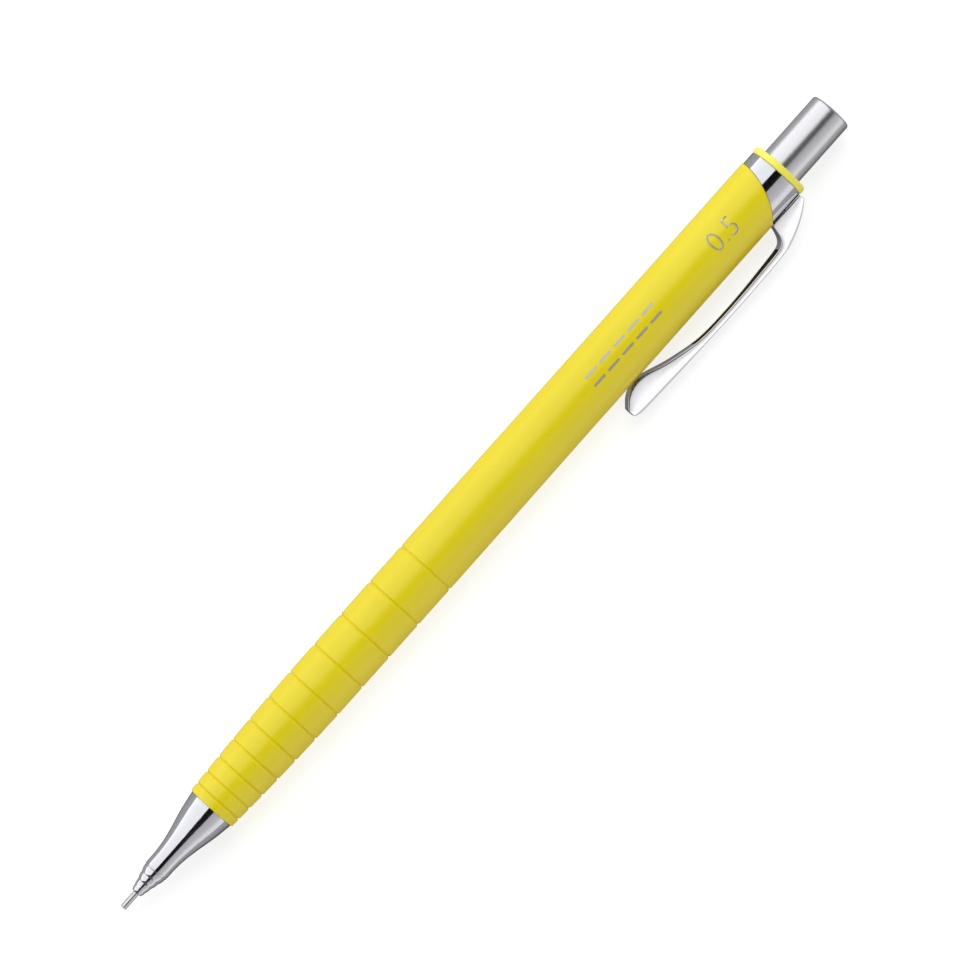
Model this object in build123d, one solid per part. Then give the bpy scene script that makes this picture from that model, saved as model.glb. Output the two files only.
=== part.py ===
from build123d import *
import math
import os

# Mechanical pencil with a sliding guide pipe, lying at rest on its side.
# Millimetres. The origin is on the pencil's axis at the free end of the guide pipe, +X runs along
# the axis towards the push button and +Z is up. The barrel and the clip lie on Z = -BARREL_R.

# ---------------------------------------------------------------- driving dimensions
TOTAL_L = 143.0
BARREL_R = 4.38            # largest radius of the barrel, just behind the grip
BARREL_REAR_R = 4.31       # the barrel narrows slightly towards the clip
LEAD_R = 0.28              # a 0.5 grade lead measures 0.56 mm across
FIT = 0.03                 # radial clearance of the close running fits
CLIP_ROLL = 20.0           # degrees that the clip points below the horizontal at rest

# places along the axis, from the writing end
NOSE_X = 2.67              # front of the nose: the guide pipe stands out of it by this much
SEAM_X = 6.73              # fine seam behind the beads of the nose
BARREL_X = 17.78           # joint between nose and barrel
GRIP_END_X = 60.80         # last groove of the grip
TAPER_X = (73.5, 93.0)     # stretch where the barrel narrows
RIM_X = 125.0              # the oblique rear rim starts behind this place
BAND_END_X = 131.5         # rear face of the clip band
TAIL_END_X = 132.57        # rear face of the tail ring

# how far the mechanism travels
PRESS = 3.5                # push button
RING_TRAVEL = 1.0          # clutch ring, which stops against the nose
RETRACT = 2.6              # guide pipe into the nose

# guide pipe, its slider and the bush that keeps it in
PIPE_R = 0.44
PIPE_BORE_R = 0.30
PIPE_SHANK_R = (0.46, 0.48)
PIPE_END_X = 9.0
SLIDER_R = 1.2
SLIDER_X = (6.95, 13.5)
RETAINER_X = (11.0, 13.2)
RETAINER_R = 0.82
STOP_X = (SLIDER_X[1] + RETRACT + 0.1, 17.2)
STOP_R = 1.85

# collet, clutch ring and sleeve
JAW_X = 20.9               # front of the collet
JAW_ROOT_X = 27.65         # the jaws flex here
HEAD_R = 1.95
ARM_R = 1.35
JAWS = 3
JAW_SLIT = 0.25
RING_X = (22.6, 25.1)
RING_R = 2.30
RING_BORE_R = 1.84
SEAT_X = (RING_X[1] + 0.05, 25.7)
SLEEVE_R = 2.58
SLEEVE_END_X = 38.7
FLANGE_L = 1.0

# return spring
WIRE_R = 0.15
SPRING_R = 1.72
SPRING_TURNS = 8

# lead reservoir, eraser and push button
TUBE_X = 33.9
TUBE_R = 1.75
TUBE_BORE_R = 1.38
TUBE_HEAD_X = (124.5, 137.5)
TUBE_HEAD_R = 2.68
FERRULE_X = (133.0, 138.4)
FERRULE_R = 2.12
FERRULE_WALL = 0.15
ERASER_END_X = 141.2
BUTTON_X = 129.2
BUTTON_R = 3.05
BUTTON_WALL = 0.28

# grip
GROOVES = 11
FIRST_RING_W = 1.32        # width of the ring beside the nose
RING_W = 1.53              # the others start from this width
RING_STEP = 0.48           # and each is this much wider than the one in front of it
GROOVE_HALF = 0.25
GROOVE_DEPTH = 0.22
SHOULDER_R = 0.20          # rounding of the rings beside a groove
GROOVE_R = 0.06            # rounding at the bottom of a groove
FLARE_X = 42.0             # the grip swells up to here
FLARE_R = 4.36
FLARE_DROP = 0.70          # how much thinner it is at the nose

# bore of the barrel, from the front: thread for the nose, seat of the sleeve, main bore
SPIGOT_R = 2.95
SPIGOT_END_X = 24.0
THREAD_PITCH = 0.9
THREAD_TURNS = 5
THREAD_DEPTH = 0.13
THREAD_CREST = 0.4
THREAD_FLANK = 0.12
BORE_FRONT_R = 3.0
BORE_SEAT_R = 2.60
BORE_R = 3.25
NECK_R = 3.84              # the band sits on this neck
NECK_BORE_R = 3.47
NECK_BORE_X = 126.8

# clip band and clip
BAND_R = 4.18
BAND_BORE_R = 3.87
RIM = ((129.5, 4.33), (128.25, 0.0), (125.8, -4.33))   # oblique rear edge of the barrel, X and Y
RIM_GAP = 0.12
CLIP_X = (94.3, 131.76)
CLIP_ROOT_X = 125.96       # front of the clip's root
CLIP_ROOT_W = 3.4
CLIP_WAIST_W = 2.2
CLIP_END_W = 3.2
CLIP_SHEET = 0.4


# ---------------------------------------------------------------- ways of making a shape
def turned(*profile):
    """A turned piece: (distance along the axis, radius) points, closed and spun about X."""
    outline = Polyline(*profile, close=True)
    return revolve(make_face(outline), Axis.X)


def outlined(lines):
    """The flat face inside lines that join end to end."""
    return make_face([edge for line in lines for edge in line.edges()])


def tube(x0, x1, outer, bore):
    """A plain tube along X."""
    return turned((x0, bore), (x0, outer), (x1, outer), (x1, bore))


def rod(x0, x1, radius, y=0.0, z=0.0):
    """A plain rod parallel to X."""
    return Pos((x0 + x1) / 2, y, z) * Rot(0, 90, 0) * Cylinder(radius, x1 - x0)


def at_rest(part):
    """Rolls a piece about the axis, from clip level with the axis to the clip touching the table."""
    return Rot(CLIP_ROLL, 0, 0) * part


# ---------------------------------------------------------------- nose
def bead(x0, x1, r0, r1):
    """One bead of the nose: a shallow arc that is steep at its front and nearly level at its rear."""
    bulge = (x0 + 0.36 * (x1 - x0), r0 + 0.62 * (r1 - r0))
    return ThreePointArc((x0, r0), bulge, (x1, r1))


def thread_profile():
    """The thread on the nose's spigot, as rings of its pitch: front flank, crest and rear flank of each."""
    first_x = BARREL_X + 0.75
    points = [(first_x - THREAD_FLANK, SPIGOT_R - THREAD_DEPTH)]
    for turn in range(THREAD_TURNS):
        front = first_x + turn * THREAD_PITCH
        rear = front + THREAD_CREST
        points += [(front, SPIGOT_R), (rear, SPIGOT_R), (rear + THREAD_FLANK, SPIGOT_R - THREAD_DEPTH),
                   (front + THREAD_PITCH - THREAD_FLANK, SPIGOT_R - THREAD_DEPTH)]
    return points


def nose_cone():
    """Plated brass nose: four beads, a short shoulder, a seam, a flared body and the screwed spigot."""
    pipe_hole_r = PIPE_SHANK_R[1] + FIT
    valleys = [(NOSE_X, 0.70), (3.41, 0.92), (4.32, 1.11), (5.38, 1.40), (6.46, 1.69), (SEAM_X, 1.78)]
    edges = [Line((NOSE_X, pipe_hole_r), valleys[0])]
    for front, rear in zip(valleys, valleys[1:]):
        edges.append(bead(front[0], rear[0], front[1], rear[1]))
    seam_depth = 0.06
    last_r = valleys[-1][1]
    edges.append(Polyline((SEAM_X, last_r), (SEAM_X + 0.02, last_r - seam_depth),
                          (SEAM_X + 0.06, last_r - seam_depth), (SEAM_X + 0.08, last_r)))
    edges.append(Spline((SEAM_X + 0.08, last_r), (8.8, 1.82), (11.3, 2.15), (13.9, 2.74), (15.6, 3.10),
                        (BARREL_X - 0.04, 3.44), tangents=((1, 0), (1, 0.17))))
    chamber_r = SLIDER_R + 0.05
    chuck_room_r = 2.2
    spigot_bore_r = SLEEVE_R + 0.04
    edges.append(Polyline(
        (BARREL_X - 0.04, 3.44), (BARREL_X - 0.04, SPIGOT_R - 0.15), *thread_profile(),
        (SPIGOT_END_X, SPIGOT_R - 0.15), (SPIGOT_END_X, spigot_bore_r),
        (RING_X[0] - RING_TRAVEL - 0.05, spigot_bore_r), (RING_X[0] - RING_TRAVEL - 0.05, chuck_room_r),
        (STOP_X[1], chuck_room_r),
        (STOP_X[1], STOP_R + 0.01), (STOP_X[0], STOP_R + 0.01), (STOP_X[0], chamber_r),
        (SLIDER_X[0] - 0.15, chamber_r), (SLIDER_X[0] - 0.35, pipe_hole_r), (NOSE_X, pipe_hole_r)))
    return revolve(outlined(edges), Axis.X)


def guide_pipe():
    """Drawn steel pipe with a rounded writing end and a slightly thicker shank inside the nose."""
    edge = 0.06
    return turned((0, PIPE_BORE_R + 0.02), (0, PIPE_R - edge), (edge, PIPE_R), (NOSE_X, PIPE_R),
                  (NOSE_X + 0.06, PIPE_SHANK_R[0]), (PIPE_END_X, PIPE_SHANK_R[1]),
                  (PIPE_END_X, PIPE_BORE_R), (0.02, PIPE_BORE_R))


def pipe_slider():
    """Polymer slider: the pipe is set in its front and the rubber retainer in its rear."""
    front, rear = SLIDER_X
    socket_r = PIPE_SHANK_R[1] + 0.01
    pocket_r = RETAINER_R + 0.01
    pocket_x = RETAINER_X[0] - 0.02
    return turned((front, socket_r), (front, 0.95), (front + 0.3, SLIDER_R), (rear - 0.2, SLIDER_R),
                  (rear, SLIDER_R - 0.15), (rear, pocket_r), (pocket_x, pocket_r),
                  (pocket_x, LEAD_R + 0.07), (PIPE_END_X + 0.02, LEAD_R + 0.07),
                  (PIPE_END_X + 0.02, socket_r))


def lead_retainer():
    """Rubber bush with a funnel behind it, which grips the lead lightly."""
    front, rear = RETAINER_X
    return turned((front, LEAD_R + 0.01), (front, RETAINER_R), (rear, RETAINER_R), (rear, 0.55),
                  (rear - 0.8, LEAD_R + 0.01))


def slider_stop():
    """Bush pressed into the nose behind the slider."""
    front, rear = STOP_X
    return turned((front, 0.62), (front, STOP_R), (rear, STOP_R), (rear, 0.85), (rear - 0.3, 0.62))


# ---------------------------------------------------------------- collet and spring
def chuck_jaw(index):
    """One third of the collet: a conical head with a hard grip on the lead and a springy arm."""
    front_bore = LEAD_R + 0.01
    relief_r = 0.60
    cone_x = 22.0
    arm_x = 24.7
    blank = turned((JAW_X, front_bore + 0.12), (JAW_X, HEAD_R - 0.35), (JAW_X + 0.35, HEAD_R),
                   (cone_x, HEAD_R), (arm_x, ARM_R), (JAW_ROOT_X - 0.05, ARM_R),
                   (JAW_ROOT_X - 0.05, relief_r), (cone_x + 1.2, relief_r), (cone_x + 0.9, front_bore),
                   (JAW_X + 0.12, front_bore))
    sector = Rot(0, 90, 0) * extrude(make_face(Polyline(
        (0, 0), *[(3 * HEAD_R * math.cos(a), 3 * HEAD_R * math.sin(a)) for a in jaw_edges()],
        close=True)), amount=40)
    slit_shift = (JAW_SLIT / 2) / math.sin(math.pi / JAWS)
    wedge = Pos(0, 0, -slit_shift) * sector
    return Rot(360 / JAWS * index, 0, 0) * (blank & wedge)


def jaw_edges():
    """Directions of the two cut faces of a jaw, and of its middle between them."""
    half = math.pi / JAWS
    return [-half, 0.0, half]


def chuck_body():
    """Shank of the collet, pressed into the front of the reservoir."""
    end_x = TUBE_X + 2.8
    return turned((JAW_ROOT_X, 0.60), (JAW_ROOT_X, ARM_R), (end_x - 0.3, ARM_R), (end_x, ARM_R - 0.2),
                  (end_x, 0.9), (end_x - 0.6, 0.60))


def clutch_ring():
    """Hardened ring with broken edges, which squeezes the jaws shut."""
    front, rear = RING_X
    edge = 0.12
    return turned((front, RING_BORE_R + edge), (front, RING_R - edge), (front + edge, RING_R),
                  (rear - edge, RING_R), (rear, RING_R - edge), (rear, RING_BORE_R + edge),
                  (rear - edge, RING_BORE_R), (front + edge, RING_BORE_R))


def chuck_sleeve():
    """Brass sleeve fixed in the barrel: ring seat in front, spring seat behind, flange at the rear."""
    front = RING_X[0] - RING_TRAVEL
    seat_bore_r = 1.5
    spring_bore_r = 2.0
    flange_x = SLEEVE_END_X - FLANGE_L
    return turned((front, RING_R + FIT), (front, SLEEVE_R), (flange_x, SLEEVE_R),
                  (flange_x, BORE_R - 0.02), (SLEEVE_END_X, BORE_R - 0.02),
                  (SLEEVE_END_X, spring_bore_r + 0.2), (SLEEVE_END_X - 0.2, spring_bore_r),
                  (SEAT_X[1], spring_bore_r), (SEAT_X[1], seat_bore_r), (SEAT_X[0], seat_bore_r),
                  (SEAT_X[0], RING_R + FIT))


def return_spring():
    """Steel compression spring round the collet, between the sleeve's seat and the reservoir."""
    start = SEAT_X[1] + WIRE_R + 0.05
    end = TUBE_X - WIRE_R - 0.05
    coil = Helix((end - start) / SPRING_TURNS, end - start, SPRING_R, (start, 0, 0), (1, 0, 0))
    wire = Plane(origin=coil @ 0, z_dir=coil % 0) * Circle(WIRE_R)
    return sweep(wire, path=coil)


# ---------------------------------------------------------------- reservoir, eraser, button, leads
def lead_tube():
    """Moulded reservoir: the collet sits in its front, the button grips its thick rear end."""
    head_x, end = TUBE_HEAD_X
    socket_x = FERRULE_X[0] - 0.4
    return turned((TUBE_X, TUBE_BORE_R), (TUBE_X, TUBE_R), (head_x, TUBE_R),
                  (head_x + 1.0, TUBE_HEAD_R), (end - 0.2, TUBE_HEAD_R), (end, TUBE_HEAD_R - 0.2),
                  (end, FERRULE_R + FIT), (socket_x, FERRULE_R + FIT), (socket_x - 0.6, TUBE_BORE_R))


def eraser_ferrule():
    """Drawn metal cup that plugs the reservoir and holds the eraser."""
    bottom, rim = FERRULE_X
    inner = FERRULE_R - FERRULE_WALL
    return turned((bottom, 0), (bottom, FERRULE_R - 0.1), (bottom + 0.1, FERRULE_R), (rim, FERRULE_R),
                  (rim, inner), (bottom + FERRULE_WALL, inner), (bottom + FERRULE_WALL, 0))


def eraser():
    """Small vinyl eraser in the ferrule."""
    start = FERRULE_X[0] + FERRULE_WALL
    radius = FERRULE_R - FERRULE_WALL - 0.01
    body = turned((start, 0), (start, radius), (ERASER_END_X, radius), (ERASER_END_X, 0))
    return fillet(body.edges().group_by(Axis.X)[-1], 0.3)


def push_button():
    """Deep-drawn metal cap with a slightly domed end and a rounded edge."""
    dome = 0.2
    edge_r = 0.4
    wall = 0.35
    bore = BUTTON_R - BUTTON_WALL
    flat_r = BUTTON_R - edge_r
    rim_x = TOTAL_L - dome
    sphere_r = (flat_r ** 2 + dome ** 2) / (2 * dome)
    half_r = flat_r / 2
    half_x = TOTAL_L - sphere_r + math.sqrt(sphere_r ** 2 - half_r ** 2)
    inner_x = rim_x - wall
    edge_cut = edge_r * (1 - math.sin(math.pi / 4))
    return revolve(outlined([
        Polyline((BUTTON_X, bore), (BUTTON_X, BUTTON_R), (rim_x - edge_r, BUTTON_R)),
        ThreePointArc((rim_x - edge_r, BUTTON_R), (rim_x - edge_cut, BUTTON_R - edge_cut),
                      (rim_x, flat_r)),
        ThreePointArc((rim_x, flat_r), (half_x, half_r), (TOTAL_L, 0)),
        Polyline((TOTAL_L, 0), (inner_x, 0), (inner_x, bore - 0.2), (inner_x - 0.2, bore),
                 (BUTTON_X, bore)),
    ]), Axis.X)


def lead():
    """The lead in use, from inside the guide pipe's end to the reservoir."""
    start = 0.05
    return rod(start, start + 60, LEAD_R)


def spare_leads():
    """Three spare leads in the reservoir, lying round its axis."""
    start = 64.0
    off_axis = 0.75
    angles = [2 * math.pi * i / 3 for i in range(3)]
    return [rod(start, start + 60, LEAD_R, off_axis * math.cos(a), off_axis * math.sin(a))
            for a in angles]


# ---------------------------------------------------------------- barrel, band, tail ring
def grip_radius(x):
    """Radius of the grip without its grooves: it swells from the nose and then runs nearly straight."""
    if x < FLARE_X:
        return FLARE_R - FLARE_DROP * ((FLARE_X - x) / (FLARE_X - BARREL_X)) ** 2
    return FLARE_R + (BARREL_R - FLARE_R) * (x - FLARE_X) / (GRIP_END_X - FLARE_X)


def groove_places():
    """Middle of each groove: the rings between them widen evenly towards the button."""
    places = [BARREL_X + FIRST_RING_W]
    for i in range(1, GROOVES):
        places.append(places[-1] + RING_W + RING_STEP * i)
    return places


def barrel_skin():
    """Outer shape of the barrel as one turned solid, with rounded grooves, up to past its rim."""
    points = [(BARREL_X, 0), (BARREL_X, grip_radius(BARREL_X))]
    for x in groove_places():
        points += [(x - GROOVE_HALF, grip_radius(x - GROOVE_HALF)),
                   (x, grip_radius(x) - GROOVE_DEPTH),
                   (x + GROOVE_HALF, grip_radius(x + GROOVE_HALF))]
    grip_end = points.pop()[0]
    points.append((grip_end, BARREL_R))
    points += [(TAPER_X[0], BARREL_R), (TAPER_X[1], BARREL_REAR_R + 0.02),
               (RIM_X, BARREL_REAR_R + 0.01), (BAND_END_X, BARREL_REAR_R), (BAND_END_X, 0)]
    section = make_face(Polyline(*points, close=True))
    places = groove_places()
    shoulders = [x + side * GROOVE_HALF for x in places for side in (-1, 1)]
    for radius, corners in ((SHOULDER_R, shoulders), (GROOVE_R, places), (0.15, [BARREL_X])):
        outer = section.vertices().filter_by(lambda v: v.Y > 1 and is_among(v.X, corners))
        section = fillet(outer, radius)
    return revolve(section, Axis.X)


def is_among(value, others):
    """Is the value one of the others, but for rounding?"""
    return any(abs(value - other) < 1e-4 for other in others)


def behind_rim(gap):
    """Everything behind the barrel's oblique rim, moved rearwards by the gap."""
    reach = 8.0
    rim = ThreePointArc(*[(x + gap, y) for x, y in RIM])
    top = rim @ 0
    bottom = rim @ 1
    sweep_x = BAND_END_X + 8
    outside = Polyline(bottom, (bottom.X - 2.4, -reach), (sweep_x, -reach), (sweep_x, reach),
                       (top.X + 0.3, reach), top)
    return extrude(outlined([rim, outside]), amount=reach, both=True)


def barrel():
    """One-piece moulded barrel with its ringed grip, stepped bore and the neck under the band."""
    skin = barrel_skin() - behind_rim(0)
    neck = rod(TAPER_X[1], BAND_END_X - 0.02, NECK_R)
    seat_end = SLEEVE_END_X - FLANGE_L - 0.02
    bore = turned((BARREL_X - 1, 0), (BARREL_X - 1, BORE_FRONT_R), (SPIGOT_END_X + 0.2, BORE_FRONT_R),
                  (SPIGOT_END_X + 0.6, BORE_SEAT_R), (seat_end, BORE_SEAT_R), (seat_end, BORE_R),
                  (NECK_BORE_X, BORE_R), (NECK_BORE_X, NECK_BORE_R), (BAND_END_X + 1, NECK_BORE_R),
                  (BAND_END_X + 1, 0))
    return skin + neck - bore


def clip_band():
    """Plated band round the barrel's neck, cut obliquely to meet the rim."""
    ring = tube(RIM[2][0] - 2, BAND_END_X, BAND_R, BAND_BORE_R)
    return ring & behind_rim(RIM_GAP)


def tail_ring():
    """Yellow ring behind the band, with a spigot that plugs the barrel's neck."""
    bore = BUTTON_R + 0.08
    outer = 4.27
    face = BAND_END_X + 0.02
    flange = turned((face, bore), (face, outer), (TAIL_END_X, outer), (TAIL_END_X, bore))
    flange = fillet(flange.edges().filter_by(GeomType.CIRCLE).group_by(SortBy.RADIUS)[-1], 0.3)
    spigot = tube(NECK_BORE_X + 0.2, face + 0.3, NECK_BORE_R - 0.02, bore)
    return flange + spigot


# ---------------------------------------------------------------- clip
def clip_side():
    """Side shape of the clip: X along the axis, and distance from the axis along -Y."""
    heel_x = BAND_END_X - 0.1
    inside = -(NECK_R - 0.2)
    outer = Spline((CLIP_X[1], -4.66), (130.0, -6.00), (127.66, -7.10), (125.3, -7.80), (122.4, -8.08),
                   (115.5, -8.25), (105.4, -8.07), (95.6, -7.74), tangents=((-1.0, -0.75), (-1.0, 0.03)))
    heel = Line((CLIP_ROOT_X, inside), (heel_x, inside))
    back = Polyline(heel @ 1, (heel_x, -4.3), outer @ 0)
    tip = ThreePointArc(outer @ 1, (94.42, -7.20), (94.80, -6.36))
    notch = Polyline(tip @ 1, (95.05, -6.20), (94.80, -5.85))
    hump = Spline(notch @ 1, (96.4, -4.66), (98.55, -BARREL_R), (100.6, -4.95), (103.2, -5.98),
                  (106.6, -6.84), (110.0, -7.30), tangents=((0.6, 1.0), (1, -0.05)))
    arm = Spline(hump @ 1, (115.5, -7.36), (121.5, -7.14), (124.2, -6.98), (125.4, -6.2),
                 (CLIP_ROOT_X, -4.9), tangents=((1, -0.05), (0, 1)))
    gusset = Line(arm @ 1, heel @ 0)
    return outlined([heel, back, outer, tip, notch, hump, arm, gusset])


def clip_plan():
    """The clip from above: wide at its root, a slim waist, wider again over the hump."""
    root, waist, end = CLIP_ROOT_W / 2, CLIP_WAIST_W / 2, CLIP_END_W / 2
    near, far = CLIP_X[0] - 1, CLIP_X[1] + 1
    side = Spline((far, root), (126.0, root), (114.0, waist), (98.0, end), (near, end))
    other = Spline((near, -end), (98.0, -end), (114.0, -waist), (126.0, -root), (far, -root))
    return outlined([side, Line(side @ 1, other @ 0), other, Line(other @ 1, side @ 0)])


def clip_arm():
    """Pressed clip: flat cheeks, a closed hump over the barrel and a hollow underside along the arm."""
    cheeks = Pos(0, 0, -CLIP_ROOT_W) * extrude(clip_side(), amount=2 * CLIP_ROOT_W)
    plan = extrude(Rot(90, 0, 0) * clip_plan(), amount=2 * BARREL_R)
    over_band = rod(CLIP_X[0], CLIP_X[1], BAND_R + 0.04)
    over_rim = rod(CLIP_X[0], CLIP_ROOT_X + 0.4, BARREL_REAR_R + 0.05)
    body = (cheeks & plan) - over_band - over_rim
    hollow = Box(14, 0.6, CLIP_WAIST_W - 2 * CLIP_SHEET)
    return body - Pos(115.5, -7.30, 0) * hollow


# ---------------------------------------------------------------- export
def pieces():
    """Every piece by the name of its node."""
    made = {
        "guide_pipe": guide_pipe(),
        "pipe_slider": pipe_slider(),
        "lead_retainer": lead_retainer(),
        "nose_cone": nose_cone(),
        "slider_stop": slider_stop(),
        "chuck_body": chuck_body(),
        "clutch_ring": clutch_ring(),
        "chuck_sleeve": chuck_sleeve(),
        "return_spring": return_spring(),
        "lead_tube": lead_tube(),
        "eraser_ferrule": eraser_ferrule(),
        "eraser": eraser(),
        "push_button": push_button(),
        "barrel": at_rest(barrel()),
        "clip_band": at_rest(clip_band()),
        "clip_arm": at_rest(clip_arm()),
        "tail_ring": tail_ring(),
        "lead": lead(),
        "spare_leads": Compound(spare_leads()),
    }
    for i in range(JAWS):
        made[f"chuck_jaw_{i + 1}"] = chuck_jaw(i)
    return made


os.makedirs("parts", exist_ok=True)
for name, shape in pieces().items():
    export_step(shape, f"parts/{name}.step")
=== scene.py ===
import math

import bpy
from mathutils import Matrix, Vector


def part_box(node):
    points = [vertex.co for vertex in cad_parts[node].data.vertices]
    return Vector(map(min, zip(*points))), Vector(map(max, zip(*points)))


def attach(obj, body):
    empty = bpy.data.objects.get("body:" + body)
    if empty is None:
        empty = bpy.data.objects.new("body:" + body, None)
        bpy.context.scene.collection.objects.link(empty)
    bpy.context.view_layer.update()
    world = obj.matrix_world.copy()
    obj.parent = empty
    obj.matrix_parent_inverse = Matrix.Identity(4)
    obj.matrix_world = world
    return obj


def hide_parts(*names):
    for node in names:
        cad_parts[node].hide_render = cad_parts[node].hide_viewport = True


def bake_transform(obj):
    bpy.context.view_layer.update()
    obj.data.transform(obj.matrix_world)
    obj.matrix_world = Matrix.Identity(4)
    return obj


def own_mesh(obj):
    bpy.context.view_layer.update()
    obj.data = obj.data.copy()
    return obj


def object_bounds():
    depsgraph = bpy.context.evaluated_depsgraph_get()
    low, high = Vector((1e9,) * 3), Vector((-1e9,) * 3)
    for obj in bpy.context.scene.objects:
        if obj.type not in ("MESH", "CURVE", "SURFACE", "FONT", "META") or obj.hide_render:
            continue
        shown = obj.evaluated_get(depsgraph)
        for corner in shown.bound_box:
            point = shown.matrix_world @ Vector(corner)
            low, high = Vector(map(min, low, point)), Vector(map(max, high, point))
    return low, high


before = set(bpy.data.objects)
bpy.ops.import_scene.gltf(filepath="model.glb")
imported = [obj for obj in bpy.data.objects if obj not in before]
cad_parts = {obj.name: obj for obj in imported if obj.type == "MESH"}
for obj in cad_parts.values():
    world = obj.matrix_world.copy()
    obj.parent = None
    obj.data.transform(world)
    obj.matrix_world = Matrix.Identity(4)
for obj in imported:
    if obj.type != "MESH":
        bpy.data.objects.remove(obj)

MM = 0.001
cad_low, cad_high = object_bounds()
bpy.ops.object.select_all(action="DESELECT")

# ------------------------------------------------------------------ barrel and tail ring
# One-piece barrel of yellow ABS, injection moulded over two core pins in a polished mould, with the
# finger rings in its front third and an oblique rear rim. The tail ring is moulded of a paler ABS and
# plugs into the barrel's neck.


def linear(hex_colour):
    """An sRGB hex colour as the linear RGBA that a shader socket takes."""
    parts = [int(hex_colour[i:i + 2], 16) / 255 for i in (1, 3, 5)]
    return [c / 12.92 if c <= 0.04045 else ((c + 0.055) / 1.055) ** 2.4 for c in parts] + [1.0]


def add_node(tree, kind, sockets, **settings):
    """Adds a node. A socket takes a plain value, or another node's output to be linked to it."""
    node = tree.nodes.new(kind)
    for name, value in settings.items():
        setattr(node, name, value)
    for name, value in sockets.items():
        if isinstance(value, bpy.types.NodeSocket):
            tree.links.new(value, node.inputs[name])
        else:
            node.inputs[name].default_value = value
    return node


def start_material(name, **sockets):
    """A new material with plain values on its shader, its node tree and the shader's inputs."""
    material = bpy.data.materials.new(name)
    material.use_nodes = True
    inputs = material.node_tree.nodes["Principled BSDF"].inputs
    for socket, value in sockets.items():
        inputs[socket.replace("_", " ")].default_value = value
    return material, material.node_tree, inputs


def finish(material, *names):
    """Gives CAD nodes their material."""
    for name in names:
        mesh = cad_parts[name].data
        mesh.materials.clear()
        mesh.materials.append(material)


# ABS from a polished mould: a high gloss over slow flow marks, with an orange-peel ripple about half a
# millimetre wide and a haze of fine handling marks
abs_plastic, tree, inputs = start_material("yellow_ABS_polish_moulded", IOR=1.53)
place = add_node(tree, "ShaderNodeTexCoord", {}).outputs["Object"]
flow = add_node(tree, "ShaderNodeTexNoise", {"Vector": place, "Scale": 1 / (14 * MM), "Detail": 3.0})
tint = add_node(tree, "ShaderNodeMix", {0: flow.outputs["Fac"], 6: linear("#E4CB0C"),
                                        7: linear("#EBD516")}, data_type="RGBA")
tree.links.new(tint.outputs[2], inputs["Base Color"])
haze = add_node(tree, "ShaderNodeTexNoise", {"Vector": place, "Scale": 1 / (1.6 * MM), "Detail": 6.0})
gloss = add_node(tree, "ShaderNodeMapRange", {0: haze.outputs["Fac"], 3: 0.24, 4: 0.36})
tree.links.new(gloss.outputs[0], inputs["Roughness"])
peel = add_node(tree, "ShaderNodeTexNoise", {"Vector": place, "Scale": 1 / (0.5 * MM), "Detail": 2.0})
skin = add_node(tree, "ShaderNodeBump", {"Height": peel.outputs["Fac"], "Strength": 0.4,
                                         "Distance": 0.004 * MM})
tree.links.new(skin.outputs["Normal"], inputs["Normal"])
finish(abs_plastic, "barrel")

# The ring's ABS comes from a smaller mould with thinner walls: a slightly softer gloss, and a paler,
# lemon yellow
ring_plastic, tree, inputs = start_material("pale_yellow_ABS_moulded", IOR=1.53)
place = add_node(tree, "ShaderNodeTexCoord", {}).outputs["Object"]
flow = add_node(tree, "ShaderNodeTexNoise", {"Vector": place, "Scale": 1 / (4 * MM), "Detail": 3.0})
tint = add_node(tree, "ShaderNodeMix", {0: flow.outputs["Fac"], 6: linear("#F4E64C"),
                                        7: linear("#F9EF62")}, data_type="RGBA")
tree.links.new(tint.outputs[2], inputs["Base Color"])
gloss = add_node(tree, "ShaderNodeMapRange", {0: flow.outputs["Fac"], 3: 0.3, 4: 0.42})
tree.links.new(gloss.outputs[0], inputs["Roughness"])
finish(ring_plastic, "tail_ring")

# ------------------------------------------------------------------ clutch
# The collet, the hardened ring that squeezes it, the sleeve fixed in the barrel and the slider's stop
# are brass, turned on an automatic lathe and left bright.

# Turned brass: rings of tool marks about the axis, drawn 0.08 mm apart, coarser than real ones, and
# slightly darker tarnish between the cleaner places
brass, tree, inputs = start_material("turned_brass", Metallic=1.0)
place = add_node(tree, "ShaderNodeTexCoord", {}).outputs["Object"]
tarnish = add_node(tree, "ShaderNodeTexNoise", {"Vector": place, "Scale": 1 / (1.5 * MM), "Detail": 5.0})
tint = add_node(tree, "ShaderNodeMix", {0: tarnish.outputs["Fac"], 6: linear("#B8934A"),
                                        7: linear("#DDBB6C")}, data_type="RGBA")
tree.links.new(tint.outputs[2], inputs["Base Color"])
around = add_node(tree, "ShaderNodeMapping", {"Vector": place, "Scale": (1.0, 0.03, 0.03)})
cuts = add_node(tree, "ShaderNodeTexNoise", {"Vector": around.outputs["Vector"],
                                             "Scale": 1 / (0.08 * MM), "Detail": 2.0})
gloss = add_node(tree, "ShaderNodeMapRange", {0: cuts.outputs["Fac"], 3: 0.18, 4: 0.34})
tree.links.new(gloss.outputs[0], inputs["Roughness"])
marks = add_node(tree, "ShaderNodeBump", {"Height": cuts.outputs["Fac"], "Strength": 0.5,
                                          "Distance": 0.006 * MM})
tree.links.new(marks.outputs["Normal"], inputs["Normal"])
finish(brass, "chuck_sleeve", "clutch_ring", "chuck_body", "chuck_jaw_1", "chuck_jaw_2", "chuck_jaw_3",
       "slider_stop")

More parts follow.
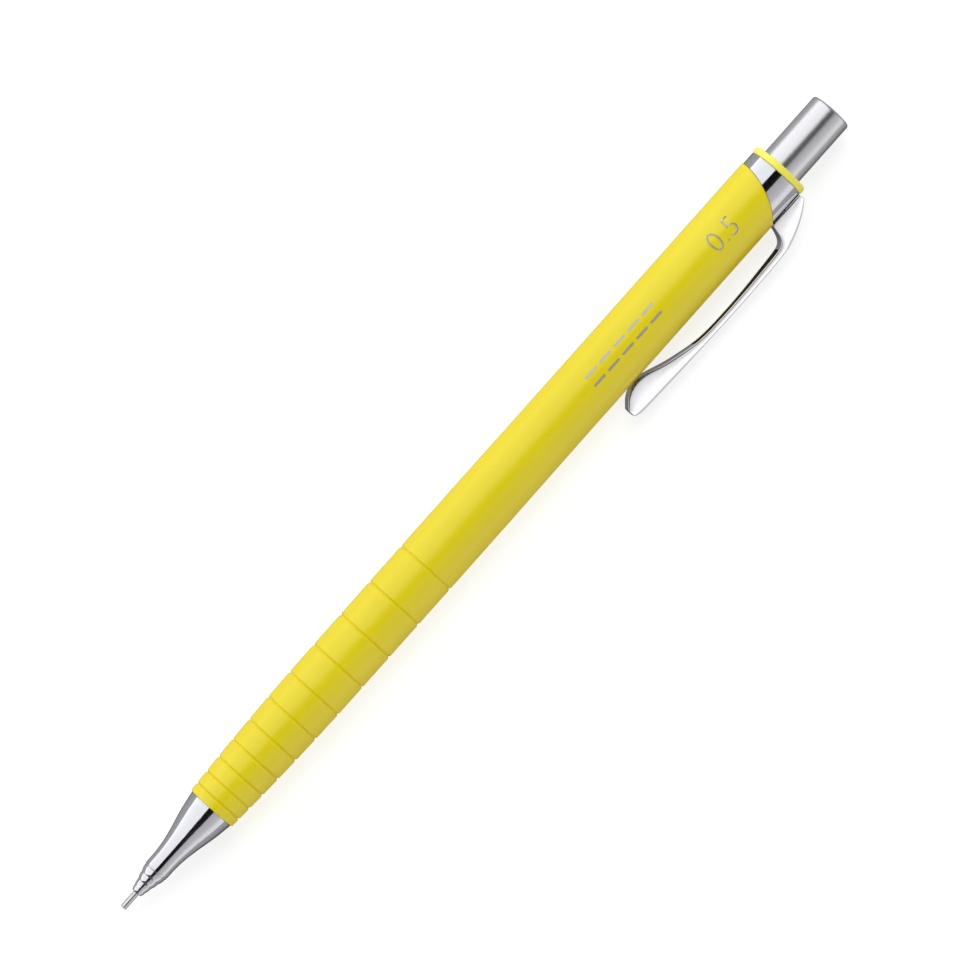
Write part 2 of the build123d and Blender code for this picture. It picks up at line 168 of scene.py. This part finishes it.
# ------------------------------------------------------------------ return spring
# Compression spring round the collet, coiled from hard-drawn steel wire 0.3 mm thick. It stands between
# the seat in the sleeve and the front of the reservoir, and pressing the button shortens it.
WIRE_R = 0.15 * MM
WIRE_SIDES = 12
COIL_R = 1.72 * MM
COIL_TURNS = 8
STEPS_A_TURN = 28
seat_low, seat_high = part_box("return_spring")
coil_start = seat_low.x + WIRE_R
coil_pitch = (seat_high.x - seat_low.x - 2 * WIRE_R) / COIL_TURNS


def settle(piece):
    """Puts a finished piece's place, turn and size into its mesh, so its object sits at the origin."""
    bpy.ops.object.select_all(action="DESELECT")
    piece.select_set(True)
    bpy.context.view_layer.objects.active = piece
    bpy.ops.object.transform_apply(location=True, rotation=True, scale=True)


def add_modifier(piece, kind, **settings):
    """Adds a modifier with its settings and applies it."""
    modifier = piece.modifiers.new(kind.title(), kind)
    for name, value in settings.items():
        setattr(modifier, name, value)
    bpy.ops.object.select_all(action="DESELECT")
    piece.select_set(True)
    bpy.context.view_layer.objects.active = piece
    bpy.ops.object.modifier_apply(modifier=modifier.name)


bpy.ops.mesh.primitive_circle_add(vertices=WIRE_SIDES, radius=WIRE_R, location=(coil_start, COIL_R, 0))
spring = bpy.context.object
spring.name = "return_spring_coil"
settle(spring)
add_modifier(spring, "SCREW", axis="X", angle=2 * math.pi, screw_offset=coil_pitch,
             iterations=COIL_TURNS, steps=STEPS_A_TURN, render_steps=STEPS_A_TURN,
             use_smooth_shade=True)
bpy.ops.object.mode_set(mode="EDIT")
bpy.ops.mesh.select_all(action="DESELECT")
bpy.ops.mesh.select_mode(type="EDGE")
bpy.ops.mesh.select_non_manifold()
bpy.ops.mesh.fill_holes(sides=WIRE_SIDES)
bpy.ops.mesh.select_all(action="SELECT")
bpy.ops.mesh.normals_make_consistent(inside=False)
bpy.ops.object.mode_set(mode="OBJECT")

# Hard-drawn steel wire: grey, fairly bright, with short draw marks and a trace of oil
wire_steel, tree, inputs = start_material("hard_drawn_spring_steel", Metallic=1.0)
place = add_node(tree, "ShaderNodeTexCoord", {}).outputs["Object"]
draw = add_node(tree, "ShaderNodeTexNoise", {"Vector": place, "Scale": 1 / (0.06 * MM), "Detail": 4.0})
tint = add_node(tree, "ShaderNodeMix", {0: draw.outputs["Fac"], 6: linear("#7C7D80"),
                                        7: linear("#A9AAAD")}, data_type="RGBA")
tree.links.new(tint.outputs[2], inputs["Base Color"])
gloss = add_node(tree, "ShaderNodeMapRange", {0: draw.outputs["Fac"], 3: 0.22, 4: 0.4})
tree.links.new(gloss.outputs[0], inputs["Roughness"])
spring.data.materials.append(wire_steel)
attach(spring, "barrel")
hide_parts("return_spring")
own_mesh(spring)

# ------------------------------------------------------------------ nose
# Brass nose, turned with four shallow beads and a fine seam, then nickel and chrome plated and screwed
# into the barrel. In it slides the guide pipe, with its acetal slider and the rubber bush that holds the
# lead.

# Bright nickel-chrome plating on metal polished while it turns: a mirror with a slightly blue cast, over
# rings of worn-down marks drawn 0.1 mm apart
plating, tree, inputs = start_material("bright_chrome_plating_polished_in_rings", Metallic=1.0)
place = add_node(tree, "ShaderNodeTexCoord", {}).outputs["Object"]
around = add_node(tree, "ShaderNodeMapping", {"Vector": place, "Scale": (1.0, 0.02, 0.02)})
cuts = add_node(tree, "ShaderNodeTexNoise", {"Vector": around.outputs["Vector"],
                                             "Scale": 1 / (0.1 * MM), "Detail": 3.0})
tint = add_node(tree, "ShaderNodeMix", {0: cuts.outputs["Fac"], 6: linear("#CACAD1"),
                                        7: linear("#DADAE0")}, data_type="RGBA")
tree.links.new(tint.outputs[2], inputs["Base Color"])
gloss = add_node(tree, "ShaderNodeMapRange", {0: cuts.outputs["Fac"], 3: 0.06, 4: 0.13})
tree.links.new(gloss.outputs[0], inputs["Roughness"])
marks = add_node(tree, "ShaderNodeBump", {"Height": cuts.outputs["Fac"], "Strength": 0.25,
                                          "Distance": 0.003 * MM})
tree.links.new(marks.outputs["Normal"], inputs["Normal"])
finish(plating, "nose_cone")

# Drawn stainless tube: fine draw lines along its length, 0.05 mm apart
pipe_steel, tree, inputs = start_material("drawn_stainless_tube", Metallic=1.0)
place = add_node(tree, "ShaderNodeTexCoord", {}).outputs["Object"]
along_pipe = add_node(tree, "ShaderNodeMapping", {"Vector": place, "Scale": (0.03, 1.0, 1.0)})
lines = add_node(tree, "ShaderNodeTexNoise", {"Vector": along_pipe.outputs["Vector"],
                                              "Scale": 1 / (0.05 * MM), "Detail": 3.0})
tint = add_node(tree, "ShaderNodeMix", {0: lines.outputs["Fac"], 6: linear("#C0C0C4"),
                                        7: linear("#DADADD")}, data_type="RGBA")
tree.links.new(tint.outputs[2], inputs["Base Color"])
gloss = add_node(tree, "ShaderNodeMapRange", {0: lines.outputs["Fac"], 3: 0.16, 4: 0.3})
tree.links.new(gloss.outputs[0], inputs["Roughness"])
finish(pipe_steel, "guide_pipe")

# Natural acetal: milky white and slightly waxy, so light sinks in a little
acetal, tree, inputs = start_material("natural_acetal_moulded", IOR=1.48, Subsurface_Weight=0.25,
                                      Subsurface_Scale=0.4 * MM)
place = add_node(tree, "ShaderNodeTexCoord", {}).outputs["Object"]
cloud = add_node(tree, "ShaderNodeTexNoise", {"Vector": place, "Scale": 1 / (1.2 * MM), "Detail": 4.0})
tint = add_node(tree, "ShaderNodeMix", {0: cloud.outputs["Fac"], 6: linear("#DEDACB"),
                                        7: linear("#ECE9DE")}, data_type="RGBA")
tree.links.new(tint.outputs[2], inputs["Base Color"])
gloss = add_node(tree, "ShaderNodeMapRange", {0: cloud.outputs["Fac"], 3: 0.3, 4: 0.45})
tree.links.new(gloss.outputs[0], inputs["Roughness"])
finish(acetal, "pipe_slider")

# Nitrile rubber: matt black, with a fine grain from the mould 0.1 mm wide
rubber, tree, inputs = start_material("nitrile_rubber_moulded", IOR=1.52)
place = add_node(tree, "ShaderNodeTexCoord", {}).outputs["Object"]
grain = add_node(tree, "ShaderNodeTexNoise", {"Vector": place, "Scale": 1 / (0.1 * MM), "Detail": 4.0})
tint = add_node(tree, "ShaderNodeMix", {0: grain.outputs["Fac"], 6: linear("#141415"),
                                        7: linear("#262628")}, data_type="RGBA")
tree.links.new(tint.outputs[2], inputs["Base Color"])
gloss = add_node(tree, "ShaderNodeMapRange", {0: grain.outputs["Fac"], 3: 0.6, 4: 0.85})
tree.links.new(gloss.outputs[0], inputs["Roughness"])
finish(rubber, "lead_retainer")

# ------------------------------------------------------------------ reservoir and leads
# The reservoir is moulded of polypropylene and pressed onto the collet. It holds the spare leads, and
# the lead in use runs from it through the collet and the guide pipe.

# Natural polypropylene: translucent white, satin, with faint flow lines along the tube
polypropylene, tree, inputs = start_material("natural_polypropylene_moulded", IOR=1.49,
                                             Subsurface_Weight=0.4, Subsurface_Scale=0.8 * MM)
place = add_node(tree, "ShaderNodeTexCoord", {}).outputs["Object"]
drawn_out = add_node(tree, "ShaderNodeMapping", {"Vector": place, "Scale": (0.1, 1.0, 1.0)})
cloud = add_node(tree, "ShaderNodeTexNoise", {"Vector": drawn_out.outputs["Vector"],
                                              "Scale": 1 / (0.8 * MM), "Detail": 4.0})
tint = add_node(tree, "ShaderNodeMix", {0: cloud.outputs["Fac"], 6: linear("#DCDDD9"),
                                        7: linear("#F0F0EC")}, data_type="RGBA")
tree.links.new(tint.outputs[2], inputs["Base Color"])
gloss = add_node(tree, "ShaderNodeMapRange", {0: cloud.outputs["Fac"], 3: 0.28, 4: 0.42})
tree.links.new(gloss.outputs[0], inputs["Roughness"])
finish(polypropylene, "lead_tube")

# Polymer-bound graphite, extruded and baked: dark grey with a soft sheen and lines along the lead
graphite, tree, inputs = start_material("extruded_graphite_lead", Metallic=0.35)
place = add_node(tree, "ShaderNodeTexCoord", {}).outputs["Object"]
along_lead = add_node(tree, "ShaderNodeMapping", {"Vector": place, "Scale": (0.05, 1.0, 1.0)})
lines = add_node(tree, "ShaderNodeTexNoise", {"Vector": along_lead.outputs["Vector"],
                                              "Scale": 1 / (0.05 * MM), "Detail": 3.0})
tint = add_node(tree, "ShaderNodeMix", {0: lines.outputs["Fac"], 6: linear("#2A2A2D"),
                                        7: linear("#434347")}, data_type="RGBA")
tree.links.new(tint.outputs[2], inputs["Base Color"])
gloss = add_node(tree, "ShaderNodeMapRange", {0: lines.outputs["Fac"], 3: 0.3, 4: 0.5})
tree.links.new(gloss.outputs[0], inputs["Roughness"])
finish(graphite, "lead", "spare_leads")

# ------------------------------------------------------------------ eraser
# Small eraser of white vinyl, cut from an extruded rod and pushed into a cup drawn from tinplate. The
# cup plugs the reservoir.

# Vinyl eraser: chalky white, matt, with a fine crumb 0.15 mm wide
vinyl, tree, inputs = start_material("extruded_vinyl_eraser", IOR=1.53, Subsurface_Weight=0.15,
                                     Subsurface_Scale=0.3 * MM)
place = add_node(tree, "ShaderNodeTexCoord", {}).outputs["Object"]
crumb = add_node(tree, "ShaderNodeTexNoise", {"Vector": place, "Scale": 1 / (0.15 * MM), "Detail": 5.0})
tint = add_node(tree, "ShaderNodeMix", {0: crumb.outputs["Fac"], 6: linear("#E4E2DA"),
                                        7: linear("#F6F5F0")}, data_type="RGBA")
tree.links.new(tint.outputs[2], inputs["Base Color"])
gloss = add_node(tree, "ShaderNodeMapRange", {0: crumb.outputs["Fac"], 3: 0.6, 4: 0.8})
tree.links.new(gloss.outputs[0], inputs["Roughness"])
crumbs = add_node(tree, "ShaderNodeBump", {"Height": crumb.outputs["Fac"], "Strength": 0.5,
                                           "Distance": 0.02 * MM})
tree.links.new(crumbs.outputs["Normal"], inputs["Normal"])
finish(vinyl, "eraser")

# Drawn tinplate: soft grey shine with draw lines along the cup
tinplate, tree, inputs = start_material("drawn_tinplate", Metallic=1.0)
place = add_node(tree, "ShaderNodeTexCoord", {}).outputs["Object"]
along_cup = add_node(tree, "ShaderNodeMapping", {"Vector": place, "Scale": (0.05, 1.0, 1.0)})
lines = add_node(tree, "ShaderNodeTexNoise", {"Vector": along_cup.outputs["Vector"],
                                              "Scale": 1 / (0.12 * MM), "Detail": 4.0})
tint = add_node(tree, "ShaderNodeMix", {0: lines.outputs["Fac"], 6: linear("#A6A8AA"),
                                        7: linear("#C6C8CA")}, data_type="RGBA")
tree.links.new(tint.outputs[2], inputs["Base Color"])
gloss = add_node(tree, "ShaderNodeMapRange", {0: lines.outputs["Fac"], 3: 0.22, 4: 0.38})
tree.links.new(gloss.outputs[0], inputs["Roughness"])
finish(tinplate, "eraser_ferrule")

# ------------------------------------------------------------------ push button
# Deep-drawn brass cap, gripped by the head of the reservoir. It is satin finished on a lathe with a
# fine abrasive and then nickel plated.

# Satin nickel plating: rings of fine scratches about the axis, drawn 0.06 mm apart, blur what it mirrors
satin, tree, inputs = start_material("satin_nickel_plating", Metallic=1.0)
place = add_node(tree, "ShaderNodeTexCoord", {}).outputs["Object"]
around = add_node(tree, "ShaderNodeMapping", {"Vector": place, "Scale": (1.0, 0.03, 0.03)})
scratches = add_node(tree, "ShaderNodeTexNoise", {"Vector": around.outputs["Vector"],
                                                  "Scale": 1 / (0.06 * MM), "Detail": 3.0})
tint = add_node(tree, "ShaderNodeMix", {0: scratches.outputs["Fac"], 6: linear("#D0D0D4"),
                                        7: linear("#E2E2E5")}, data_type="RGBA")
tree.links.new(tint.outputs[2], inputs["Base Color"])
gloss = add_node(tree, "ShaderNodeMapRange", {0: scratches.outputs["Fac"], 3: 0.24, 4: 0.34})
tree.links.new(gloss.outputs[0], inputs["Roughness"])
marks = add_node(tree, "ShaderNodeBump", {"Height": scratches.outputs["Fac"], "Strength": 0.25,
                                          "Distance": 0.003 * MM})
tree.links.new(marks.outputs["Normal"], inputs["Normal"])
finish(satin, "push_button")

# ------------------------------------------------------------------ clip and its band
# The clip and the band are pressed from one strip of spring steel, folded into a hollow arm with a
# closed hump that rests on the barrel, then tumble polished, and nickel and chrome plated.
CLIP_ROLL = math.radians(20)

# Each station of the arm in millimetres, from its root to its tip: place along the pencil, inner and
# outer distance from the pencil's axis, and width
ARM_STATIONS = [
    (131.45, 3.95, 4.95, 3.40), (130.90, 3.95, 5.42, 3.40), (130.00, 3.95, 6.00, 3.40),
    (128.90, 3.95, 6.57, 3.40), (127.66, 3.95, 7.10, 3.40), (126.60, 3.95, 7.45, 3.40),
    (125.98, 3.95, 7.64, 3.39), (125.82, 4.95, 7.68, 3.38), (125.45, 5.95, 7.77, 3.35),
    (125.05, 6.60, 7.86, 3.31), (124.40, 6.98, 7.95, 3.26), (123.00, 7.07, 8.05, 3.12),
    (121.50, 7.14, 8.11, 2.94), (118.50, 7.28, 8.19, 2.55), (115.50, 7.37, 8.25, 2.26),
    (112.80, 7.37, 8.24, 2.20), (110.00, 7.32, 8.20, 2.26), (108.20, 7.16, 8.15, 2.36),
    (106.80, 6.90, 8.11, 2.45), (105.20, 6.48, 8.06, 2.59), (103.40, 6.02, 8.01, 2.77),
    (101.80, 5.46, 7.96, 2.92), (100.60, 4.97, 7.92, 3.03), (99.60, 4.60, 7.89, 3.12),
    (98.55, 4.40, 7.85, 3.18), (97.40, 4.46, 7.81, 3.20), (96.40, 4.72, 7.77, 3.20),
    (95.60, 5.22, 7.72, 3.19), (95.00, 5.80, 7.60, 3.17), (94.55, 6.20, 7.38, 3.12),
]
CHANNEL_WALL = 0.3 * MM
CHANNEL_DRAFT = 0.05 * MM
CHANNEL_DEPTH = 0.5 * MM
CHANNEL_X = (107.2 * MM, 124.3 * MM)
FACING_BARREL = 0.35
EDGE_R = 0.13 * MM
EDGE_TURN = math.radians(40)
SMOOTH_TURN = math.radians(35)

# Bright chrome on pressed steel: a mirror with hairline scratches in every direction from the tumble
# polishing, and a very slight waviness of the sheet 2 mm wide
pressed_plating, tree, inputs = start_material("bright_chrome_plating_on_pressed_steel", Metallic=1.0)
place = add_node(tree, "ShaderNodeTexCoord", {}).outputs["Object"]
hairlines = add_node(tree, "ShaderNodeTexNoise", {"Vector": place, "Scale": 1 / (0.2 * MM),
                                                  "Detail": 6.0, "Distortion": 1.5})
tint = add_node(tree, "ShaderNodeMix", {0: hairlines.outputs["Fac"], 6: linear("#E6E6EA"),
                                        7: linear("#F3F3F5")}, data_type="RGBA")
tree.links.new(tint.outputs[2], inputs["Base Color"])
gloss = add_node(tree, "ShaderNodeMapRange", {0: hairlines.outputs["Fac"], 3: 0.08, 4: 0.18})
tree.links.new(gloss.outputs[0], inputs["Roughness"])
wave = add_node(tree, "ShaderNodeTexNoise", {"Vector": place, "Scale": 1 / (2 * MM), "Detail": 1.0})
sheet = add_node(tree, "ShaderNodeBump", {"Height": wave.outputs["Fac"], "Strength": 0.3,
                                          "Distance": 0.02 * MM})
tree.links.new(sheet.outputs["Normal"], inputs["Normal"])

# The inside of the fold: a dull dark grey painted in as the shade that lies in the recess, with a mottle
# 0.4 mm wide
shade_painted_fold_steel, tree, inputs = start_material("steel_in_the_fold_painted_dark_as_shade", Metallic=1.0)
place = add_node(tree, "ShaderNodeTexCoord", {}).outputs["Object"]
mottle = add_node(tree, "ShaderNodeTexNoise", {"Vector": place, "Scale": 1 / (0.4 * MM), "Detail": 4.0})
tint = add_node(tree, "ShaderNodeMix", {0: mottle.outputs["Fac"], 6: linear("#343437"),
                                        7: linear("#4A4A4E")}, data_type="RGBA")
tree.links.new(tint.outputs[2], inputs["Base Color"])
gloss = add_node(tree, "ShaderNodeMapRange", {0: mottle.outputs["Fac"], 3: 0.45, 4: 0.6})
tree.links.new(gloss.outputs[0], inputs["Roughness"])


def chosen_faces(piece, wanted):
    """In edit mode, selects just the faces whose middle and outward direction pass a test."""
    bpy.ops.mesh.select_mode(type="FACE")
    bpy.ops.mesh.select_all(action="DESELECT")
    bpy.ops.object.mode_set(mode="OBJECT")
    for face in piece.data.polygons:
        face.select = wanted(face.center, face.normal)
    bpy.ops.object.mode_set(mode="EDIT")


root_x, root_in, root_out, root_w = [value * MM for value in ARM_STATIONS[0]]
bpy.ops.object.select_all(action="DESELECT")
bpy.ops.mesh.primitive_plane_add(size=1, location=(root_x, -(root_in + root_out) / 2, 0),
                                 rotation=(0, math.radians(90), 0))
arm = bpy.context.object
arm.scale = (root_w, root_out - root_in, 1)
arm.name = "clip_arm_pressed"
arm.data.materials.append(pressed_plating)
arm.data.materials.append(shade_painted_fold_steel)
settle(arm)
bpy.ops.object.mode_set(mode="EDIT")
bpy.ops.mesh.select_all(action="SELECT")
last = ARM_STATIONS[0]
for station in ARM_STATIONS[1:]:
    step_x = (station[0] - last[0]) * MM
    middle = -(station[1] + station[2]) / 2 * MM
    step_y = middle + (last[1] + last[2]) / 2 * MM
    bpy.ops.mesh.extrude_region_move(TRANSFORM_OT_translate={"value": (step_x, step_y, 0)})
    bpy.ops.transform.resize(
        value=(1, (station[2] - station[1]) / (last[2] - last[1]), station[3] / last[3]),
        center_override=(station[0] * MM, middle, 0))
    last = station
bpy.ops.mesh.select_all(action="SELECT")
bpy.ops.mesh.normals_make_consistent(inside=False)
# the faces towards the barrel, between the hump and the root, sink in as the inside of the fold
chosen_faces(arm, lambda middle, out: out.y > FACING_BARREL and CHANNEL_X[0] < middle.x < CHANNEL_X[1])
bpy.ops.mesh.inset(thickness=CHANNEL_WALL)
# the channel's floor and walls take the dark grey that is painted shade
arm.active_material_index = 1
bpy.ops.object.material_slot_assign()
bpy.ops.mesh.inset(thickness=CHANNEL_DRAFT, depth=-CHANNEL_DEPTH)
bpy.ops.object.mode_set(mode="OBJECT")
add_modifier(arm, "BEVEL", width=EDGE_R, segments=2, limit_method="ANGLE", angle_limit=EDGE_TURN)
add_modifier(arm, "SUBSURF", levels=1, render_levels=1)
bpy.ops.object.shade_smooth_by_angle(angle=SMOOTH_TURN)
arm.rotation_euler.x = CLIP_ROLL
settle(arm)

# the band is polished on a mandrel, so it has the nose's rings
finish(pressed_plating, "clip_arm")
finish(plating, "clip_band")
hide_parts("clip_arm")
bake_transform(arm)

# ------------------------------------------------------------------ foil marks
# Silver foil, hot stamped on the barrel a little more than a quarter turn from the clip: the lead size,
# and two plain rows of bars along the barrel. The foil lies on the ABS and follows its curve.
MARK_ROLL = math.radians(10)
FOIL_RISE = 0.012 * MM
FOIL_THICK = 0.02 * MM
ABOVE_BARREL = 6 * MM
STRIPS = 16
FIGURE_H = 2.75 * MM
FIGURE_MIDDLE_X = 120.4 * MM
FIGURE_THINNER = 0.017
BAR_L, BAR_W = 2.2 * MM, 0.34 * MM
BAR_CORNER = 0.12 * MM
BAR_STEP_X, BAR_STEP_Y = 2.82 * MM, 1.6 * MM
BAR_FIRST_X = 93.8 * MM
BARS_ALONG, BARS_ACROSS = 5, 2

# Hot-stamped foil: satin aluminium under lacquer, with a soft grain of pinholes 0.1 mm wide
foil, tree, inputs = start_material("silver_hot_stamping_foil", Metallic=1.0)
place = add_node(tree, "ShaderNodeTexCoord", {}).outputs["Object"]
pinholes = add_node(tree, "ShaderNodeTexNoise", {"Vector": place, "Scale": 1 / (0.1 * MM),
                                                 "Detail": 4.0})
tint = add_node(tree, "ShaderNodeMix", {0: pinholes.outputs["Fac"], 6: linear("#BDBCB6"),
                                        7: linear("#E2E1DC")}, data_type="RGBA")
tree.links.new(tint.outputs[2], inputs["Base Color"])
gloss = add_node(tree, "ShaderNodeMapRange", {0: pinholes.outputs["Fac"], 3: 0.42, 4: 0.6})
tree.links.new(gloss.outputs[0], inputs["Roughness"])


def stamp(piece, half_height):
    """Cuts a flat mark into strips, lays them on the barrel, thickens them and rolls them into place."""
    bpy.ops.object.select_all(action="DESELECT")
    piece.select_set(True)
    bpy.context.view_layer.objects.active = piece
    bpy.ops.object.mode_set(mode="EDIT")
    for i in range(1, STRIPS):
        bpy.ops.mesh.select_all(action="SELECT")
        bpy.ops.mesh.bisect(plane_co=(0, half_height * (2 * i / STRIPS - 1), 0), plane_no=(0, 1, 0))
    bpy.ops.object.mode_set(mode="OBJECT")
    add_modifier(piece, "SHRINKWRAP", target=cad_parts["barrel"], wrap_method="PROJECT",
                 use_project_z=True, use_negative_direction=True, use_positive_direction=False,
                 offset=FOIL_RISE)
    add_modifier(piece, "SOLIDIFY", thickness=FOIL_THICK, offset=-1)
    piece.rotation_euler.x = MARK_ROLL
    settle(piece)
    piece.data.materials.append(foil)
    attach(piece, "barrel")


bpy.ops.object.select_all(action="DESELECT")
bpy.ops.object.text_add(location=(0, 0, 0))
figures = bpy.context.object
figures.data.body = "0.5"
figures.data.align_x = "CENTER"
figures.data.align_y = "CENTER"
figures.data.resolution_u = 6
figures.data.offset = -FIGURE_THINNER
bpy.ops.object.convert(target="MESH")
figures = bpy.context.object
figures.name = "foil_lead_size"
heights = [vertex.co.y for vertex in figures.data.vertices]
grow = FIGURE_H / (max(heights) - min(heights))
figures.scale = (grow, grow, 1)
figures.location = (FIGURE_MIDDLE_X, -grow * (max(heights) + min(heights)) / 2, ABOVE_BARREL)
settle(figures)
stamp(figures, FIGURE_H / 2)

bpy.ops.object.select_all(action="DESELECT")
bpy.ops.mesh.primitive_plane_add(size=1, location=(BAR_FIRST_X + BAR_L / 2, -BAR_STEP_Y / 2, ABOVE_BARREL))
bars = bpy.context.object
bars.scale = (BAR_L, BAR_W, 1)
bars.name = "foil_bars"
settle(bars)
bpy.ops.object.mode_set(mode="EDIT")
bpy.ops.mesh.select_all(action="SELECT")
bpy.ops.mesh.bevel(offset=BAR_CORNER, segments=4, affect="VERTICES")
bpy.ops.object.mode_set(mode="OBJECT")
add_modifier(bars, "ARRAY", count=BARS_ALONG, use_relative_offset=False, use_constant_offset=True,
             constant_offset_displace=(BAR_STEP_X, 0, 0))
add_modifier(bars, "ARRAY", count=BARS_ACROSS, use_relative_offset=False, use_constant_offset=True,
             constant_offset_displace=(0, BAR_STEP_Y, 0))
stamp(bars, BAR_STEP_Y / 2 + BAR_W / 2)

# ------------------------------------------------------------------ table, light and camera
# White card on a lit table top, so that hardly a shadow falls. Round it are a studio for the metal to
# mirror, four softboxes, and a camera with a long lens.
AIM = Vector((71.5 * MM, 0, 0))
TABLE_L = 4
bpy.ops.object.select_all(action="DESELECT")
bpy.ops.mesh.primitive_plane_add(size=TABLE_L, location=(AIM.x, 0, cad_low.z))
table = bpy.context.object
table.name = "table"
card, tree, inputs = start_material("white_card", Base_Color=linear("#969696"), Roughness=0.9,
                                    Emission_Color=linear("#FFFFFF"), Emission_Strength=0.78)
table.data.materials.append(card)
table.visible_glossy = False

# The studio as metal mirrors it, from straight down to straight up: a pale floor, dark only right below
# and brightest at the horizon, under a dark ceiling. The camera sees plain white behind the table.
ROOM_GREYS = [(0.1, "#8C8C8C"), (0.2, "#AEAEAE"), (0.35, "#B4B4B4"), (0.53, "#BEBEBE"),
              (0.67, "#787878"), (0.8, "#585858"), (0.93, "#202020")]
world = bpy.data.worlds.new("studio")
bpy.context.scene.world = world
world.use_nodes = True
tree = world.node_tree
way = add_node(tree, "ShaderNodeTexCoord", {}).outputs["Generated"]
height = add_node(tree, "ShaderNodeSeparateXYZ", {"Vector": way}).outputs["Z"]
share = add_node(tree, "ShaderNodeMapRange", {0: height, 1: -1.0, 2: 1.0}).outputs[0]
shade = add_node(tree, "ShaderNodeValToRGB", {"Fac": share})
ramp = shade.color_ramp
ramp.elements[0].color = linear("#404040")
ramp.elements[1].color = linear("#0C0C0C")
for position, grey in ROOM_GREYS:
    ramp.elements.new(position).color = linear(grey)
seen = add_node(tree, "ShaderNodeLightPath", {}).outputs["Is Camera Ray"]
sky = add_node(tree, "ShaderNodeMix", {0: seen, 6: shade.outputs["Color"], 7: linear("#F4F4F4")},
               data_type="RGBA")
tree.links.new(sky.outputs[2], tree.nodes["Background"].inputs["Color"])

# A bright softbox stands on the side away from the clip and a weaker one on the clip's side. Bright
# metal shows the gap between them, round the camera, as a dark stripe. A greenish fill comes from the
# button's end and is in no reflection, and a narrow box lights the clip alone.
VIEW_PAST_CLIP = math.radians(10)
lean = CLIP_ROLL - VIEW_PAST_CLIP
to_camera = Vector((0, -math.sin(lean), math.cos(lean)))
across = Vector((0, -math.cos(lean), -math.sin(lean)))
along = Vector((1, 0, 0))
BOX_L = 0.9
BOX_AWAY = 0.34
FILL_AWAY = 1.2
FILL_RISE = math.radians(32)


def softbox(name, angle, width, distance, power, rise=0.0):
    """A softbox facing the pencil, turned about it from the camera's line and raised to its button end."""
    way = (to_camera * math.cos(angle) + across * math.sin(angle)) * math.cos(rise) + along * math.sin(rise)
    bpy.ops.object.light_add(type="AREA")
    light = bpy.context.object
    light.name = name
    light.data.shape = "RECTANGLE"
    light.data.size = BOX_L
    light.data.size_y = width
    light.data.energy = power
    side = way.cross(along).normalized()
    turn = Matrix((side.cross(way), side, way)).transposed().to_4x4()
    light.matrix_world = Matrix.Translation(AIM + way * distance) @ turn
    return light


softbox("softbox_left", math.radians(-51), 0.60, BOX_AWAY, 2.1)
softbox("softbox_right", math.radians(57), 0.50, BOX_AWAY, 0.74)
fill = softbox("fill_light", math.radians(-24), 0.50, FILL_AWAY, 5.2, rise=FILL_RISE)
fill.data.color = (0.79, 1.0, 0.86)
fill.visible_glossy = False
clip_light = softbox("clip_light", math.radians(20), 0.15, BOX_AWAY, 0.32)
only_clip = bpy.data.collections.new("lit_by_the_clip_light")
only_clip.objects.link(arm)
clip_light.light_linking.receiver_collection = only_clip

# The camera looks down on the pencil through a long lens, a little past square to the clip's cheek, so
# that the inside of the fold shows. The pencil lies diagonally across the view with its writing end at
# the lower left.
PENCIL_TURN = math.radians(48.365)
TARGET_RIGHT, TARGET_UP = 1.541 * MM, 2.412 * MM
EYE_X = 56 * MM
EYE_AWAY = 0.86
LENS = 236
right = along * math.cos(PENCIL_TURN) + across * math.sin(PENCIL_TURN)
up = along * math.sin(PENCIL_TURN) - across * math.cos(PENCIL_TURN)
target = AIM + right * TARGET_RIGHT + up * TARGET_UP
eye = Vector((EYE_X, 0, 0)) + to_camera * EYE_AWAY
back = (eye - target).normalized()
camera_up = (up - back * up.dot(back)).normalized()
bpy.ops.object.camera_add()
camera = bpy.context.object
camera.data.lens = LENS
camera.data.clip_end = 10
camera.matrix_world = (Matrix.Translation(eye)
                       @ Matrix((camera_up.cross(back), camera_up, back)).transposed().to_4x4())
bpy.context.scene.camera = camera
bpy.context.scene.view_settings.view_transform = "Standard"
